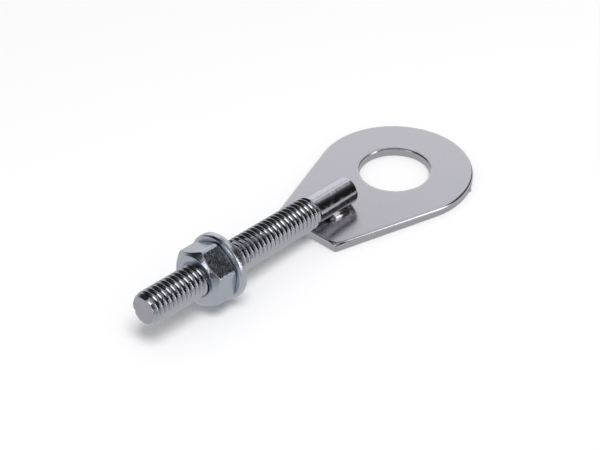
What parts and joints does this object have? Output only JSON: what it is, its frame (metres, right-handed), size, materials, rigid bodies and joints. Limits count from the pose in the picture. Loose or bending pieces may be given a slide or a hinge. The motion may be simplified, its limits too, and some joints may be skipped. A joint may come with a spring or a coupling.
{
  "type": "motorcycle chain adjuster",
  "caption": "Axle adjuster for a chain drive: teardrop eye plate with a threaded stud welded to its tail, a washer and a hexagon nut that pull the axle back along the swing arm.",
  "frame": {"origin": "centre of the axle hole, on the eye plate's underside", "axes": "+X from the axle hole towards the stud's free end, +Z along the axle hole, up from the underside to the face that carries the stud"},
  "size_m": [0.0767, 0.0284, 0.012],
  "materials": {
    "plated_plate": "bright nickel-chrome plate over blanked strip, satin from the rolled surface below",
    "plated_stud": "bright nickel-chrome plate over a rolled thread and a turned shank",
    "weld": "plated over the rippled weld metal",
    "zinc_washer": "clear zinc plate over a tumbled pressing",
    "zinc_nut": "clear zinc plate over a cold-formed nut"
  },
  "bodies": {
    "adjuster": {"eye_plate": "plated_plate", "threaded_stud": "plated_stud", "weld_beads": "weld"},
    "washer": {"washer": "zinc_washer"},
    "nut": {"hex_nut": "zinc_nut"}
  },
  "joints": [
    {"name": "washer_slide", "type": "slide", "parent": "adjuster", "child": "washer", "axis": [0.9985, 0, 0.0541], "range_m": [-0.0203, 0.0117]},
    {"name": "nut_turn", "type": "hinge", "parent": "washer", "child": "nut", "pos_m": [0.0238, 0, 0.00452], "axis": [0.9985, 0, 0.0541], "range_deg": [-7309, 4213]}
  ],
  "couplings": [
    {"joint": "nut_turn", "follows": "washer_slide", "rad_per_m": 6283.2}
  ]
}
